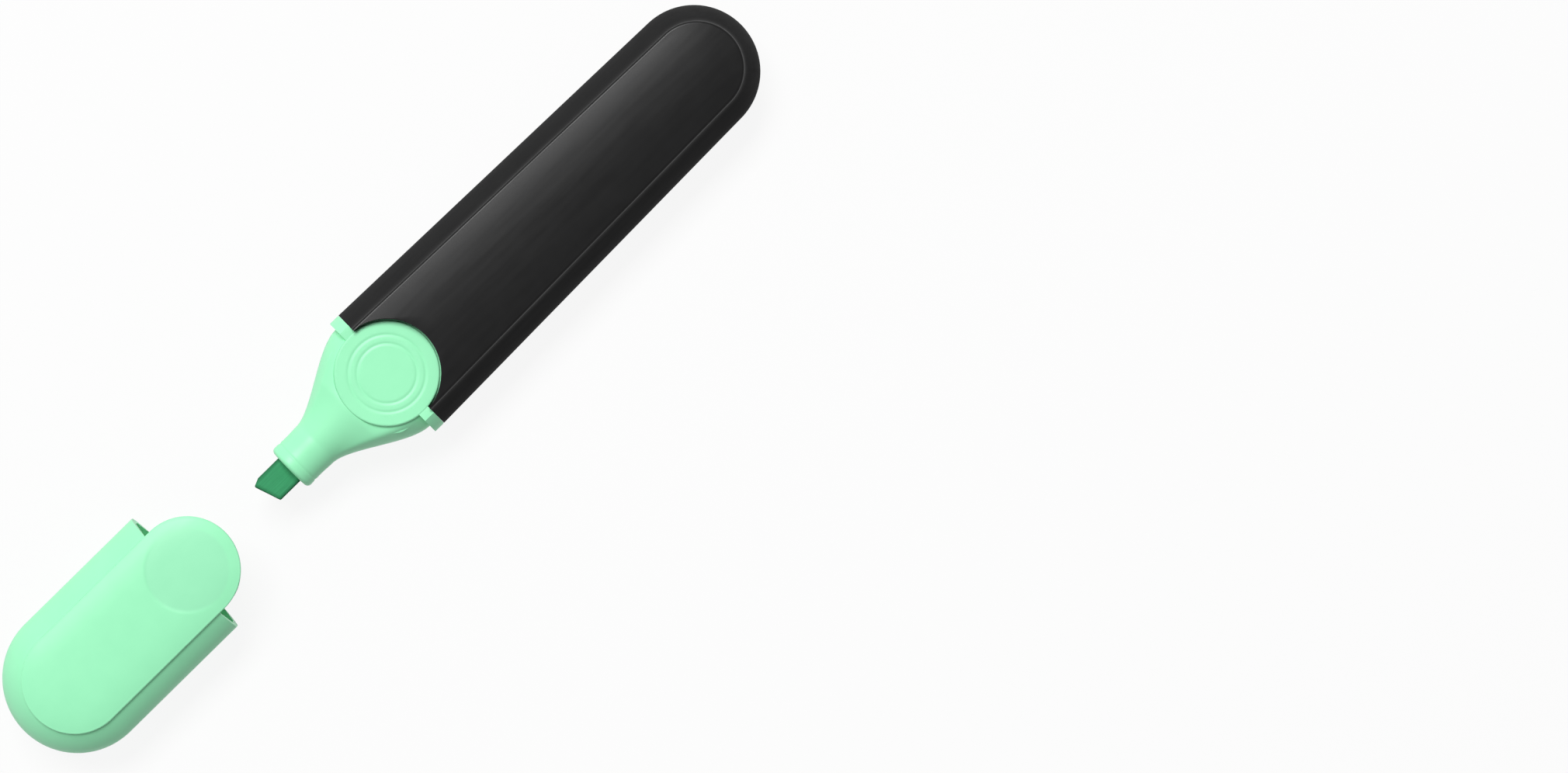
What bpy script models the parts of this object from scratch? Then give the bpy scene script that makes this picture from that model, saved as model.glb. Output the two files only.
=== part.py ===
"""Flat highlighter with its cap pulled off, lying on its broad face, cap and pen on one axis along X."""

import math

import bmesh
import bpy
from mathutils import Matrix, Vector

MM = 0.001

# Driving dimensions, in metres. X runs along the pen from cap to barrel end, and x = 0 is the collar's
# front face. Heights are measured from the pen's middle plane, which lies HALF_THICKNESS above the table.
HALF_THICKNESS = 8.0 * MM
GAP = 0.3 * MM
OUTER_HALF_WIDTH = 12.9 * MM
SIDE_HALF_HEIGHT = 2.6 * MM
SHELL_RISE = HALF_THICKNESS - SIDE_HALF_HEIGHT

COLLAR_LENGTH = 2.1 * MM
BARREL_LENGTH = 84.1 * MM
BARREL_END_RADIUS = 11.4 * MM
BARREL_CHAMFER = 3.3 * MM
BARREL_WALL = 1.15 * MM
BARREL_PANEL_WALL = 1.4 * MM
BARREL_INNER_CHAMFER = 2.4 * MM
NOTCH_RADIUS = 9.35 * MM
NOTCH_CENTRE_X = 1.03 * MM

CAP_LENGTH = 38.5 * MM
CAP_TRAVEL = 47.4 * MM
CAP_CHAMFER = 3.78 * MM
CAP_WALL = 1.1 * MM
CAP_PANEL_WALL = 1.5 * MM
CAP_INNER_CHAMFER = 2.6 * MM
TONGUE_RADIUS = 9.1 * MM
TONGUE_CENTRE_X = 1.2 * MM
LOWER_TONGUE_CENTRE_X = -0.1 * MM
DISH_RADIUS = 7.7 * MM
DISH_FLOOR_RADIUS = 3.5 * MM
DISH_DEPTH = 0.5 * MM

NECK_RADIUS = 4.42 * MM
NECK_FRONT_X = -22.4 * MM
NECK_BACK_X = -16.5 * MM
NECK_FILLET = 0.55 * MM
NOSE_HALF_WIDTH = 11.6 * MM
NOSE_HALF_HEIGHT = 5.8 * MM
NOSE_CHAMFER = 2.5 * MM
NOSE_WALL = 1.3 * MM
NOSE_HANDLE_FRONT = 4.0 * MM
NOSE_HANDLE_BACK = 4.6 * MM
PLUG_HALF_WIDTH = 11.35 * MM
PLUG_LENGTH = 11.0 * MM
DISC_RADIUS = 9.0 * MM
DISC_HALF_HEIGHT = 6.2 * MM
DISC_EDGE = 0.35 * MM

NIB_WIDTH = 5.42 * MM
NIB_THICKNESS = 3.2 * MM
NIB_TIP_X = -28.95 * MM
NIB_SLANT = 1.7 * MM
NIB_CORNER = 0.77 * MM
NIB_CORNER_RUN = 1.35 * MM
NIB_BACK_X = 22.0 * MM
NIB_FREE = 0.2 * MM

CORE_FRONT_X = 14.5 * MM
CORE_LENGTH = 64.0 * MM
CORE_HALF_WIDTH = 7.6 * MM
CORE_RADIUS = 4.5 * MM
FILM_WALL = 0.4 * MM
RIB_HALF_WIDTH = 0.6 * MM
RIB_SPACING = 3.5 * MM

SEAL_BORE = 4.75 * MM
SEAL_WALL = 0.9 * MM
SEAL_FRONT_X = -16.8 * MM
SEAL_BACK_GAP = 2.7 * MM
SEAL_FLOOR = 1.0 * MM
SOCKET_WALL = 0.8 * MM
SOCKET_LENGTH = 6.5 * MM

ARC_STEPS = 28
CIRCLE_STEPS = 48
NOSE_STEPS = 14
NOSE_HOLLOW_FIRST_STEP = 5

# A cutter runs past what it cuts by OVERRUN, and CUT_REACH is beyond the section in every direction.
OVERRUN = 5.0 * MM
CUT_REACH = 20.0 * MM
ROOT_DEPTH = 0.5 * MM
WELD_DISTANCE = 0.001 * MM
SHARP_ANGLE = math.radians(30)

FILM_HALF_HEIGHT = CORE_RADIUS + GAP + FILM_WALL
BARREL_FRONT_X = COLLAR_LENGTH
BARREL_END_X = BARREL_FRONT_X + BARREL_LENGTH
SEAL_RADIUS = SEAL_BORE + SEAL_WALL


def clear_scene():
    for obj in list(bpy.data.objects):
        bpy.data.objects.remove(obj, do_unlink=True)
    for collection in list(bpy.data.collections):
        bpy.data.collections.remove(collection)


def make_collection(name):
    collection = bpy.data.collections.new(name)
    bpy.context.scene.collection.children.link(collection)
    return collection


def make_empty(name, location, collection):
    empty = bpy.data.objects.new(name, None)
    empty.location = location
    empty.empty_display_size = HALF_THICKNESS
    collection.objects.link(empty)
    return empty


def make_material(name, colour, roughness):
    material = bpy.data.materials.new(name)
    material.use_nodes = True
    shader = material.node_tree.nodes["Principled BSDF"]
    shader.inputs["Base Color"].default_value = (*colour, 1.0)
    shader.inputs["Roughness"].default_value = roughness
    shader.inputs["Metallic"].default_value = 0.0
    return material


# Outlines and sections

def arc(centre, radius, start, end, steps=ARC_STEPS):
    """Points on a circle from one angle to another, both ends included, angles in radians."""
    angles = [start + (end - start) * i / steps for i in range(steps + 1)]
    return [(centre[0] + radius * math.cos(a), centre[1] + radius * math.sin(a)) for a in angles]


def round_ended(flat_x, flat_half_width, end_centre_x, end_radius):
    """A long plan outline: a straight edge at flat_x, two straight sides, and a round far end."""
    towards = 1 if end_centre_x > flat_x else -1
    length = abs(end_centre_x - flat_x)
    lean = math.asin((flat_half_width - end_radius) / length)
    turn = math.pi / 2 - lean
    points = [(flat_x, -flat_half_width)]
    points += [(end_centre_x + towards * x, y) for x, y in arc((0, 0), end_radius, -turn, turn)]
    points.append((flat_x, flat_half_width))
    return points


def octagon(half_width, half_height, side_half_height, chamfer):
    """A section across the pen, as (y, z): flat panels, sloped shoulders and short upright sides."""
    quarter = [(half_width, side_half_height), (half_width - chamfer, half_height)]
    upper = quarter + [(-y, z) for y, z in reversed(quarter)]
    return upper + [(-y, -z) for y, z in upper]


def stadium_section(half_width, radius):
    """A flat oval section, as (y, z)."""
    right = arc((half_width - radius, 0), radius, -math.pi / 2, math.pi / 2, ARC_STEPS // 2)
    return right + [(-y, -z) for y, z in right]


# Solids

def filled_curve(name, points, extrude, bevel=0.0):
    """A closed 2D outline as a closed mesh: extruded both ways, with an optional bevel round its rim."""
    curve = bpy.data.curves.new(name, "CURVE")
    curve.dimensions = "2D"
    curve.fill_mode = "BOTH"
    curve.extrude = extrude
    curve.bevel_depth = bevel
    curve.bevel_resolution = 0
    spline = curve.splines.new("POLY")
    spline.points.add(len(points) - 1)
    for point, (x, y) in zip(spline.points, points):
        point.co = (x, y, 0, 1)
    spline.use_cyclic_u = True
    source = bpy.data.objects.new(name, curve)
    bpy.context.scene.collection.objects.link(source)
    bpy.context.view_layer.update()
    graph = bpy.context.evaluated_depsgraph_get()
    mesh = bpy.data.meshes.new_from_object(source.evaluated_get(graph))
    bpy.data.objects.remove(source)
    bpy.data.curves.remove(curve)
    work = bmesh.new()
    work.from_mesh(mesh)
    bmesh.ops.remove_doubles(work, verts=work.verts, dist=WELD_DISTANCE)
    bmesh.ops.recalc_face_normals(work, faces=work.faces)
    work.to_mesh(mesh)
    work.free()
    mesh.name = name
    return mesh


def chamfered_plate(name, panel_outline, half_height, chamfer, rise):
    """A plate with the given panel outline, whose rim slopes out by chamfer while it drops by rise."""
    stretch = rise / chamfer
    mesh = filled_curve(name, panel_outline, half_height / stretch - chamfer, chamfer)
    mesh.transform(Matrix.Diagonal((1, 1, stretch, 1)))
    return mesh


def bar_along_x(name, section, low_x, high_x):
    """A bar with the given (y, z) section, from low_x to high_x."""
    mesh = filled_curve(name, section, (high_x - low_x) / 2)
    onto_yz = Matrix(((0, 0, 1, (low_x + high_x) / 2), (1, 0, 0, 0), (0, 1, 0, 0), (0, 0, 0, 1)))
    mesh.transform(onto_yz)
    return mesh


def slab(name, outline, low_z, high_z):
    """A slab with the given plan outline, between two heights."""
    mesh = filled_curve(name, outline, (high_z - low_z) / 2)
    mesh.transform(Matrix.Translation((0, 0, (low_z + high_z) / 2)))
    return mesh


def box(name, low, high):
    low, high = Vector(low), Vector(high)
    mesh = bpy.data.meshes.new(name)
    work = bmesh.new()
    bmesh.ops.create_cube(work, size=1.0, matrix=Matrix.LocRotScale((low + high) / 2, None, high - low))
    work.to_mesh(mesh)
    work.free()
    return mesh


def cylinder(name, radius, low, high, axis="Z", top_radius=None):
    """A round bar between two places on its axis, a cone where top_radius differs."""
    mesh = bpy.data.meshes.new(name)
    work = bmesh.new()
    top = radius if top_radius is None else top_radius
    bmesh.ops.create_cone(work, cap_ends=True, segments=CIRCLE_STEPS, radius1=radius, radius2=top,
                          depth=high - low)
    work.to_mesh(mesh)
    work.free()
    mesh.transform(Matrix.Translation((0, 0, (low + high) / 2)))
    if axis == "X":
        mesh.transform(Matrix.Rotation(math.pi / 2, 4, "Y"))
    return mesh


def round_rim(mesh, width):
    """Bevels the upper rim of a round bar that stands along Z."""
    work = bmesh.new()
    work.from_mesh(mesh)
    top = max(vert.co.z for vert in work.verts)
    rim = [edge for edge in work.edges if all(vert.co.z > top - WELD_DISTANCE for vert in edge.verts)]
    bmesh.ops.bevel(work, geom=rim, offset=width, segments=2, profile=0.5, affect="EDGES")
    work.to_mesh(mesh)
    work.free()


def loft(name, rings):
    """A closed solid through rings of equal point count, bridged one to the next and closed at both ends."""
    mesh = bpy.data.meshes.new(name)
    work = bmesh.new()
    loops = []
    for ring in rings:
        verts = [work.verts.new(point) for point in ring]
        edges = [work.edges.new((a, b)) for a, b in zip(verts, verts[1:] + verts[:1])]
        loops.append((verts, edges))
    for (_, near), (_, far) in zip(loops, loops[1:]):
        bmesh.ops.bridge_loops(work, edges=near + far)
    for verts, _ in (loops[0], loops[-1]):
        work.faces.new(verts)
    bmesh.ops.recalc_face_normals(work, faces=work.faces)
    work.to_mesh(mesh)
    work.free()
    return mesh


# Objects

def add_object(name, mesh, parent, material):
    """A visible piece, carried by its parent empty."""
    mesh.name = name
    mesh.materials.clear()
    mesh.materials.append(material)
    mesh.shade_smooth()
    mesh.set_sharp_from_angle(angle=SHARP_ANGLE)
    obj = bpy.data.objects.new(name, mesh)
    parts.objects.link(obj)
    obj.parent = parent
    return obj


def add_cutter(name, mesh, parent):
    """A helper solid that only cuts or joins, and isn't part of the object."""
    obj = bpy.data.objects.new(name, mesh)
    cutters.objects.link(obj)
    obj.parent = parent
    obj.hide_render = True
    obj.display_type = "WIRE"
    return obj


def combine(target, other, operation):
    modifier = target.modifiers.new(f"{operation.lower()}_{other.name}", "BOOLEAN")
    modifier.operation = operation
    modifier.solver = "EXACT"
    modifier.object = other


# Barrel: one moulded shell, narrowing towards its round closed end, with round notches in both panels

def barrel_plate(name, inset, chamfer, half_height, rise, front_x):
    """The barrel's outer or inner form: its plan is the barrel's, moved in by inset, ahead of any notch."""
    end_centre_x = BARREL_END_X - BARREL_END_RADIUS
    taper = (OUTER_HALF_WIDTH - BARREL_END_RADIUS) / (end_centre_x - BARREL_FRONT_X)
    front_half = OUTER_HALF_WIDTH + taper * (BARREL_FRONT_X - front_x)
    outline = round_ended(front_x, front_half - inset - chamfer, end_centre_x,
                          BARREL_END_RADIUS - inset - chamfer)
    return chamfered_plate(name, outline, half_height, chamfer, rise)


def build_barrel(pen, material):
    overrun_x = BARREL_FRONT_X - OVERRUN
    inner_height = HALF_THICKNESS - BARREL_PANEL_WALL
    body = barrel_plate("barrel", 0, BARREL_CHAMFER, HALF_THICKNESS, SHELL_RISE, overrun_x)
    barrel = add_object("barrel", body, pen, material)
    hollow = barrel_plate("barrel_hollow", BARREL_WALL, BARREL_INNER_CHAMFER, inner_height,
                          inner_height - SIDE_HALF_HEIGHT, overrun_x - OVERRUN)
    combine(barrel, add_cutter("barrel_hollow", hollow, pen), "DIFFERENCE")
    front = box("barrel_front", (-CUT_REACH, -CUT_REACH, -CUT_REACH), (BARREL_FRONT_X, CUT_REACH, CUT_REACH))
    combine(barrel, add_cutter("barrel_front", front, pen), "DIFFERENCE")
    notch = cylinder("barrel_notch", NOTCH_RADIUS, -CUT_REACH, CUT_REACH)
    notch.transform(Matrix.Translation((NOTCH_CENTRE_X, 0, 0)))
    combine(barrel, add_cutter("barrel_notch", notch, pen), "DIFFERENCE")
    rib_low = FILM_HALF_HEIGHT + GAP
    for side in (1, -1):
        for row in (1, -1):
            y = row * RIB_SPACING
            faces = sorted((side * rib_low, side * (inner_height + ROOT_DEPTH)))
            rib = box("barrel_rib", (CORE_FRONT_X, y - RIB_HALF_WIDTH, faces[0]),
                      (CORE_FRONT_X + CORE_LENGTH, y + RIB_HALF_WIDTH, faces[1]))
            combine(barrel, add_cutter("barrel_rib", rib, pen), "UNION")
    return barrel


# Nose section: plug, collar, thumb discs, tapered nose and round neck, moulded as one piece

def ease(t):
    """The nose's plan as a cubic Bezier, (x, share): share is 0 at the neck and 1 at the collar."""
    xs = (NECK_BACK_X, NECK_BACK_X + NOSE_HANDLE_FRONT, -NOSE_HANDLE_BACK, 0.0)
    weights = ((1 - t) ** 3, 3 * t * (1 - t) ** 2, 3 * t * t * (1 - t), t ** 3)
    x = sum(w * at for w, at in zip(weights, xs))
    return x, weights[2] + weights[3]


def ring_section(x, radius):
    angles = [2 * math.pi * i / CIRCLE_STEPS for i in range(CIRCLE_STEPS)]
    return [(x, radius * math.cos(a), radius * math.sin(a)) for a in angles]


def ray_to_octagon(angle, corners):
    """The distance from the axis to the octagon's edge in one direction."""
    ray = Vector((math.cos(angle), math.sin(angle)))
    reach = []
    for (y0, z0), (y1, z1) in zip(corners, corners[1:] + corners[:1]):
        edge = Vector((y1 - y0, z1 - z0))
        cross = ray.x * edge.y - ray.y * edge.x
        if abs(cross) < 1e-12:
            continue
        distance = (y0 * edge.y - z0 * edge.x) / cross
        along = (y0 * ray.y - z0 * ray.x) / cross
        if distance > 0 and -1e-9 <= along <= 1 + 1e-9:
            reach.append(distance)
    return min(reach)


def nose_ring(t, inset):
    """One section of the nose between the round neck and the flat collar end, moved in by inset."""
    x, share = ease(t)
    corners = octagon(NOSE_HALF_WIDTH, NOSE_HALF_HEIGHT, SIDE_HALF_HEIGHT, NOSE_CHAMFER)
    ring = []
    for i in range(CIRCLE_STEPS):
        angle = 2 * math.pi * i / CIRCLE_STEPS
        flat = ray_to_octagon(angle, corners)
        radius = NECK_RADIUS + (flat - NECK_RADIUS) * share - inset
        ring.append((x, radius * math.cos(angle), radius * math.sin(angle)))
    return ring


def build_nose(pen, material):
    bead = [ring_section(NECK_FRONT_X, NECK_RADIUS - NECK_FILLET),
            ring_section(NECK_FRONT_X + NECK_FILLET, NECK_RADIUS)]
    body = [nose_ring(i / NOSE_STEPS, 0.0) for i in range(NOSE_STEPS + 1)]
    back = [(COLLAR_LENGTH / 2, y, z) for _, y, z in body[-1]]
    nose = add_object("nose_section", loft("nose_section", bead + body + [back]), pen, material)

    collar_section = octagon(OUTER_HALF_WIDTH, HALF_THICKNESS, SIDE_HALF_HEIGHT, BARREL_CHAMFER)
    collar = add_cutter("collar", bar_along_x("collar", collar_section, 0, COLLAR_LENGTH - GAP), pen)
    for side in (1, -1):
        faces = sorted((side * NOSE_HALF_HEIGHT, side * CUT_REACH))
        seat = cylinder("collar_seat", NOTCH_RADIUS, *faces)
        seat.transform(Matrix.Translation((NOTCH_CENTRE_X, 0, 0)))
        combine(collar, add_cutter("collar_seat", seat, pen), "DIFFERENCE")
    combine(nose, collar, "UNION")

    plug_section = octagon(PLUG_HALF_WIDTH, NOSE_HALF_HEIGHT, SIDE_HALF_HEIGHT, NOSE_CHAMFER)
    plug = bar_along_x("plug", plug_section, COLLAR_LENGTH / 2, COLLAR_LENGTH + PLUG_LENGTH)
    combine(nose, add_cutter("plug", plug, pen), "UNION")

    for side in (1, -1):
        disc = cylinder("disc", DISC_RADIUS, NECK_RADIUS, DISC_HALF_HEIGHT)
        round_rim(disc, DISC_EDGE)
        disc.transform(Matrix.Translation((NOTCH_CENTRE_X, 0, 0)))
        if side < 0:
            disc.transform(Matrix.Rotation(math.pi, 4, "X"))
        combine(nose, add_cutter("disc", disc, pen), "UNION")

    steps = range(NOSE_HOLLOW_FIRST_STEP, NOSE_STEPS + 1)
    hollow = [nose_ring(i / NOSE_STEPS, NOSE_WALL) for i in steps]
    hollow.append([(COLLAR_LENGTH + PLUG_LENGTH + OVERRUN, y, z) for _, y, z in hollow[-1]])
    combine(nose, add_cutter("nose_hollow", loft("nose_hollow", hollow), pen), "DIFFERENCE")
    half_y = NIB_WIDTH / 2 + NIB_FREE
    half_z = NIB_THICKNESS / 2 + NIB_FREE
    slot = box("nib_slot", (NECK_FRONT_X - OVERRUN, -half_y, -half_z), (0, half_y, half_z))
    combine(nose, add_cutter("nib_slot", slot, pen), "DIFFERENCE")
    return nose


# Nib: one bar of bonded fibre, cut to a slanted chisel, whose back end stands in the ink reservoir

def build_nib(pen, material):
    half = NIB_WIDTH / 2
    outline = [
        (NIB_BACK_X, -half),
        (NIB_BACK_X, half),
        (NIB_TIP_X + NIB_CORNER_RUN, half),
        (NIB_TIP_X, half - NIB_CORNER),
        (NIB_TIP_X + NIB_SLANT, -half),
    ]
    mesh = slab("nib", outline, -NIB_THICKNESS / 2, NIB_THICKNESS / 2)
    return add_object("nib", mesh, pen, material)


# Ink reservoir: a flat oval rod of fibre in a film sleeve

def build_reservoir(pen, core_material, film_material):
    back_x = CORE_FRONT_X + CORE_LENGTH
    core_section = stadium_section(CORE_HALF_WIDTH, CORE_RADIUS)
    core = add_object("reservoir_core", bar_along_x("reservoir_core", core_section, CORE_FRONT_X, back_x),
                      pen, core_material)
    half_y = NIB_WIDTH / 2 + GAP
    half_z = NIB_THICKNESS / 2 + GAP
    pocket = box("nib_pocket", (0, -half_y, -half_z), (NIB_BACK_X + GAP, half_y, half_z))
    combine(core, add_cutter("nib_pocket", pocket, pen), "DIFFERENCE")

    film_section = stadium_section(CORE_HALF_WIDTH + GAP + FILM_WALL, FILM_HALF_HEIGHT)
    film = add_object("reservoir_film", bar_along_x("reservoir_film", film_section, CORE_FRONT_X, back_x),
                      pen, film_material)
    inside = stadium_section(CORE_HALF_WIDTH + GAP, CORE_RADIUS + GAP)
    bore = bar_along_x("film_bore", inside, CORE_FRONT_X - OVERRUN, back_x + OVERRUN)
    combine(film, add_cutter("film_bore", bore, pen), "DIFFERENCE")
    return core, film


# Cap: a shell of the same section, whose two panels run on as round tongues past the mouth at x = 0

def cap_plate(name, inset, chamfer, half_height, rise, front_x):
    radius = OUTER_HALF_WIDTH - inset - chamfer
    outline = round_ended(front_x, radius, -CAP_LENGTH + OUTER_HALF_WIDTH, radius)
    return chamfered_plate(name, outline, half_height, chamfer, rise)


def build_cap(cap, material):
    inner_height = HALF_THICKNESS - CAP_PANEL_WALL
    body = cap_plate("cap_shell", 0, CAP_CHAMFER, HALF_THICKNESS, SHELL_RISE, CUT_REACH)
    shell = add_object("cap_shell", body, cap, material)
    inside = cap_plate("cap_hollow", CAP_WALL, CAP_INNER_CHAMFER, inner_height,
                       inner_height - SIDE_HALF_HEIGHT, CUT_REACH + OVERRUN)
    hollow = add_cutter("cap_hollow", inside, cap)
    socket_radius = SEAL_RADIUS + GAP + SOCKET_WALL
    socket_front = -CAP_LENGTH + SEAL_BACK_GAP + SOCKET_LENGTH
    socket = cylinder("seal_socket", socket_radius, -CAP_LENGTH - CUT_REACH, socket_front, "X")
    combine(hollow, add_cutter("seal_socket", socket, cap), "DIFFERENCE")
    combine(shell, hollow, "DIFFERENCE")
    bore = cylinder("socket_bore", SEAL_RADIUS + GAP, -CAP_LENGTH + SEAL_BACK_GAP - GAP,
                    socket_front + OVERRUN, "X")
    combine(shell, add_cutter("socket_bore", bore, cap), "DIFFERENCE")

    past_mouth = box("past_mouth", (0, -CUT_REACH, -CUT_REACH), (2 * CUT_REACH, CUT_REACH, CUT_REACH))
    beyond = add_cutter("past_mouth", past_mouth, cap)
    upper_outline = round_ended(-CUT_REACH, TONGUE_RADIUS, TONGUE_CENTRE_X, TONGUE_RADIUS)
    upper_tongue = slab("upper_tongue", upper_outline, 0, CUT_REACH + OVERRUN)
    combine(beyond, add_cutter("upper_tongue", upper_tongue, cap), "DIFFERENCE")
    lower_outline = round_ended(-CUT_REACH, TONGUE_RADIUS, LOWER_TONGUE_CENTRE_X, TONGUE_RADIUS)
    lower_tongue = slab("lower_tongue", lower_outline, -CUT_REACH - OVERRUN, OVERRUN)
    combine(beyond, add_cutter("lower_tongue", lower_tongue, cap), "DIFFERENCE")
    combine(shell, beyond, "DIFFERENCE")

    for side, centre_x in ((1, TONGUE_CENTRE_X), (-1, LOWER_TONGUE_CENTRE_X)):
        low, high = HALF_THICKNESS - DISH_DEPTH, HALF_THICKNESS + DISH_DEPTH
        dish_top_radius = 2 * DISH_RADIUS - DISH_FLOOR_RADIUS
        dish = cylinder("thumb_dish", DISH_FLOOR_RADIUS, low, high, top_radius=dish_top_radius)
        dish.transform(Matrix.Translation((centre_x, 0, 0)))
        if side < 0:
            dish.transform(Matrix.Rotation(math.pi, 4, "X"))
        combine(shell, add_cutter("thumb_dish", dish, cap), "DIFFERENCE")
    return shell


def build_seal(cap, material):
    """A round cup that closes over the neck, held at its back in the cap's socket."""
    back_x = -CAP_LENGTH + SEAL_BACK_GAP
    seal = add_object("cap_inner_seal", cylinder("cap_inner_seal", SEAL_RADIUS, back_x, SEAL_FRONT_X, "X"),
                      cap, material)
    bore = cylinder("seal_bore", SEAL_BORE, back_x + SEAL_FLOOR, SEAL_FRONT_X + OVERRUN, "X")
    combine(seal, add_cutter("seal_bore", bore, cap), "DIFFERENCE")
    return seal


clear_scene()
parts = make_collection("highlighter")
cutters = make_collection("cutters")

pen_axis = make_empty("pen_axis", (0, 0, HALF_THICKNESS), parts)
cap_axis = make_empty("cap_axis", (-CAP_TRAVEL - GAP, 0, HALF_THICKNESS), parts)

black_plastic = make_material("black_plastic", (0.02, 0.02, 0.021), 0.32)
mint_plastic = make_material("mint_plastic", (0.36, 0.92, 0.57), 0.35)
green_felt = make_material("green_felt", (0.04, 0.34, 0.13), 0.85)
reservoir_fibre = make_material("reservoir_fibre", (0.35, 0.75, 0.5), 0.9)
clear_film = make_material("clear_film", (0.85, 0.9, 0.88), 0.25)
seal_plastic = make_material("seal_plastic", (0.42, 0.92, 0.62), 0.45)

build_barrel(pen_axis, black_plastic)
build_nose(pen_axis, mint_plastic)
build_nib(pen_axis, green_felt)
build_reservoir(pen_axis, reservoir_fibre, clear_film)
build_cap(cap_axis, mint_plastic)
build_seal(cap_axis, seal_plastic)
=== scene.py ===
# %% [markdown]
# # A flat highlighter with its cap off
#
# The pen lies on one of its broad faces and the cap lies in front of the nib, on the same axis. The packed
# model gives every place and size. This script dresses it: each rigid moulding is drawn again as a smooth
# surface, worked out with numpy from a few named sizes, and each finish is built from shader nodes.

# %% Load the frame
import math

import bmesh
import bpy
import numpy as np
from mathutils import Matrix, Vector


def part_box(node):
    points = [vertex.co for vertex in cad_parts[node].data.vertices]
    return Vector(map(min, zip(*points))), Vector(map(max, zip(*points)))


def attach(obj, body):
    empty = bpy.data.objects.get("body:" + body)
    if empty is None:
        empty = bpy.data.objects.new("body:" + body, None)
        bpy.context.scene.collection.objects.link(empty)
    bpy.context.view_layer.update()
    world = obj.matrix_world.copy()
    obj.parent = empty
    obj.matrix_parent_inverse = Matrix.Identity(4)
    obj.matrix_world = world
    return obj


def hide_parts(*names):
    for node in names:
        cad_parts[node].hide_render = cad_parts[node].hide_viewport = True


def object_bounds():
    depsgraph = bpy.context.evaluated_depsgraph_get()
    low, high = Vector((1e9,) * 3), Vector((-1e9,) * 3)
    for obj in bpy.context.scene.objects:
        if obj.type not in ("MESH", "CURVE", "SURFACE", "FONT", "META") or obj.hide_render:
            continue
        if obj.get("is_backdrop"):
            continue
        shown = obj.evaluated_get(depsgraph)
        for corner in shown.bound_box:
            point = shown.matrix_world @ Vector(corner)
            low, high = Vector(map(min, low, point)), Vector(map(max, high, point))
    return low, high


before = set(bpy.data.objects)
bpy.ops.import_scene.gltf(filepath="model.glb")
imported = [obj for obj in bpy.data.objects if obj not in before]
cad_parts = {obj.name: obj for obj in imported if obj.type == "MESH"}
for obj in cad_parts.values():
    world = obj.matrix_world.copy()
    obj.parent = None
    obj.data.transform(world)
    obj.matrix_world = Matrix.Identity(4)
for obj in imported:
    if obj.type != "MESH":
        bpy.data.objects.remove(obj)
cad_low, cad_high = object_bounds()
MM = 0.001

# %% [markdown]
# ## The camera
#
# The picture looks straight down on the broad face, with the pen running up to the right at a slant. A real
# lens sees the near face a little larger than the far one, so the distance matters: it decides how much of
# the dark inside of the cap shows past its mouth. The pen fills only the left half of the frame, so the lens
# is shifted sideways instead of being turned, which keeps the view square to the pen.

# %% Camera
FRAME_PIXELS = (2020, 996)
PIXELS_PER_MM = 7.5
VIEW_PIXEL_X = 505
VIEW_DISTANCE = 568 * MM
VIEW_PLACE = (0.09 * MM, -2.2 * MM)
PEN_SLANT = math.radians(44.54)
SENSOR_WIDTH = 36.0

barrel_low, barrel_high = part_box("barrel")
half_thickness = (barrel_high.z - barrel_low.z) / 2
middle = (barrel_high.z + barrel_low.z) / 2
frame_width = FRAME_PIXELS[0] / PIXELS_PER_MM * MM

camera_data = bpy.data.cameras.new("camera")
camera_data.sensor_width = SENSOR_WIDTH
camera_data.lens = SENSOR_WIDTH * VIEW_DISTANCE / frame_width
camera_data.shift_x = 0.5 - VIEW_PIXEL_X / FRAME_PIXELS[0]
camera = bpy.data.objects.new("camera", camera_data)
camera.location = (*VIEW_PLACE, middle + VIEW_DISTANCE)
camera.rotation_euler = (0, 0, -PEN_SLANT)
bpy.context.scene.collection.objects.link(camera)
bpy.context.scene.camera = camera
bpy.context.scene.view_settings.view_transform = "Standard"
print("lens", round(camera_data.lens, 1), "mm, shift", camera_data.shift_x)

# %% [markdown]
# ## Turning arrays into meshes
#
# Every piece below is one or more grids of points. A grid of rows and columns becomes quads by joining each
# point to its neighbours, and a grid that closes on itself joins its last row or column to its first. Grids
# that share an edge are welded there, so the piece ends up as one closed skin.

# %% Grids
def quads(rows, columns, close_rows=False, close_columns=False):
    """Corner numbers of a grid's quads: point (i, j), then one row on, then across, then one row back."""
    row_starts = np.arange(rows - (not close_rows))
    column_starts = np.arange(columns - (not close_columns))
    i, j = np.meshgrid(row_starts, column_starts, indexing="ij")
    next_i = (i + 1) % rows
    next_j = (j + 1) % columns
    corners = [i * columns + j, next_i * columns + j, next_i * columns + next_j, i * columns + next_j]
    return np.stack(corners, axis=-1).reshape(-1, 4)


def grid_of(x, y, z):
    """A grid of points from three arrays that broadcast together."""
    return np.stack(np.broadcast_arrays(x, y, z), axis=-1)


print("a grid of 3 by 4 points has", len(quads(3, 4)), "quads, and", len(quads(3, 4, True)), "as a tube")

# %% Meshes
WELD = 0.002 * MM
SLIVER = 0.0002 * MM
SHARP_ANGLE = math.radians(38)


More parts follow.
